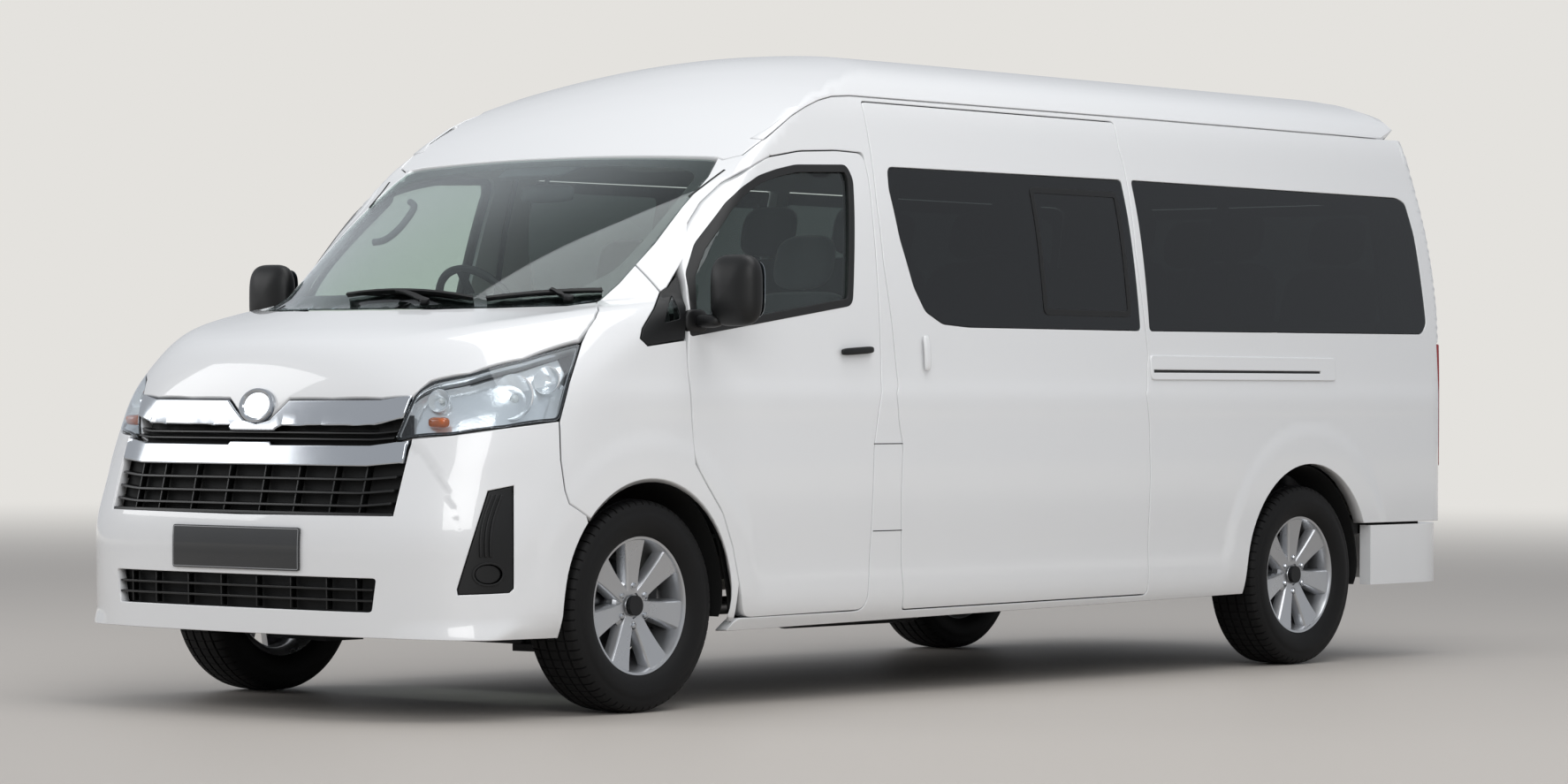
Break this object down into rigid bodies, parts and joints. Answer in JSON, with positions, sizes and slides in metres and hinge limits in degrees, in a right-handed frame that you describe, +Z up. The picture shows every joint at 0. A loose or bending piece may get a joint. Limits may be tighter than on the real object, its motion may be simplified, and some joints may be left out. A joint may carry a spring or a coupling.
{
  "type": "minibus",
  "caption": "High-roof passenger van with a short bonnet, sliding side door, lifting tailgate, hinged front doors, seat rows and steered front wheels.",
  "frame": {"origin": "on the ground, at the middle of the vehicle's length and width", "axes": "+Z up, the front faces -Y, the vehicle's left side is +X"},
  "size_m": [2.4, 5.9154, 2.28],
  "materials": {
    "paint": "gloss white paint",
    "glass": "clear glass",
    "privacy": "dark privacy glass",
    "black_plastic": "grained black plastic",
    "chrome": "bright chrome",
    "lamp": "clear lamp lens",
    "tail_red": "red lamp lens",
    "alloy": "silver painted alloy",
    "tyre": "black rubber",
    "steel": "black painted steel",
    "seat": "dark grey woven cloth",
    "dash": "grained dark plastic",
    "galvanised": "bare steel"
  },
  "bodies": {
    "root": {"side_left": "paint", "side_right": "paint", "sliding_door": "paint", "side_glass": "privacy", "roof": "paint", "windscreen_frame": "paint", "windscreen": "glass", "front_wings": "paint", "headlamps": "lamp", "front_bumper": "paint", "grilles": "black_plastic", "bright_bars": "chrome", "rear_bumper": "paint", "tail_lamps": "tail_red", "front_plate": "black_plastic", "floor": "steel", "wheel_liners": "black_plastic", "rear_axle": "steel", "front_suspension": "steel", "engine": "steel", "fuel_tank": "black_plastic", "spare_wheel": "tyre", "exhaust": "galvanised", "dash": "dash", "steering_wheel": "dash", "front_seats": "seat", "passenger_seats": "seat"},
    "bonnet": {"bonnet": "paint"},
    "door_left": {"front_door_left": "paint", "door_glass_left": "glass", "mirror_left": "black_plastic"},
    "door_right": {"front_door_right": "paint", "door_glass_right": "glass", "mirror_right": "black_plastic"},
    "tailgate": {"tailgate": "paint", "tailgate_glass": "privacy", "rear_plate": "black_plastic"},
    "knuckle_left": {"knuckle_left": "steel"},
    "knuckle_right": {"knuckle_right": "steel"},
    "wheel_front_left": {"tyre_front_left": "tyre", "rim_front_left": "alloy"},
    "wheel_front_right": {"tyre_front_right": "tyre", "rim_front_right": "alloy"},
    "wheel_rear_left": {"tyre_rear_left": "tyre", "rim_rear_left": "alloy"},
    "wheel_rear_right": {"tyre_rear_right": "tyre", "rim_rear_right": "alloy"}
  },
  "joints": [
    {"name": "bonnet_hinge", "type": "hinge", "parent": "root", "child": "bonnet", "pos_m": [0, -2.0936, 1.352], "axis": [-1, 0, 0], "range_deg": [0, 48]},
    {"name": "door_left_hinge", "type": "hinge", "parent": "root", "child": "door_left", "pos_m": [0.973, -1.791, 0.95], "axis": [0, 0, -1], "range_deg": [0, 65]},
    {"name": "door_right_hinge", "type": "hinge", "parent": "root", "child": "door_right", "pos_m": [-0.973, -1.791, 0.95], "axis": [0, 0, 1], "range_deg": [0, 65]},
    {"name": "tailgate_hinge", "type": "hinge", "parent": "root", "child": "tailgate", "pos_m": [0, 2.822, 2.082], "axis": [1, 0, 0], "range_deg": [0, 85]},
    {"name": "steer_left", "type": "hinge", "parent": "root", "child": "knuckle_left", "pos_m": [0.777, -2.02, 0.35], "axis": [0, 0, 1], "range_deg": [-33, 33]},
    {"name": "steer_right", "type": "hinge", "parent": "root", "child": "knuckle_right", "pos_m": [-0.777, -2.02, 0.35], "axis": [0, 0, 1], "range_deg": [-33, 33]},
    {"name": "spin_front_left", "type": "hinge", "parent": "knuckle_left", "child": "wheel_front_left", "pos_m": [0.8375, -2.02, 0.35], "axis": [1, 0, 0], "continuous": true},
    {"name": "spin_front_right", "type": "hinge", "parent": "knuckle_right", "child": "wheel_front_right", "pos_m": [-0.8375, -2.02, 0.35], "axis": [1, 0, 0], "continuous": true},
    {"name": "spin_rear_left", "type": "hinge", "parent": "root", "child": "wheel_rear_left", "pos_m": [0.8375, 1.84, 0.35], "axis": [1, 0, 0], "continuous": true},
    {"name": "spin_rear_right", "type": "hinge", "parent": "root", "child": "wheel_rear_right", "pos_m": [-0.8375, 1.84, 0.35], "axis": [1, 0, 0], "continuous": true}
  ],
  "couplings": [
    {"joint": "steer_right", "follows": "steer_left", "ratio": 1}
  ]
}
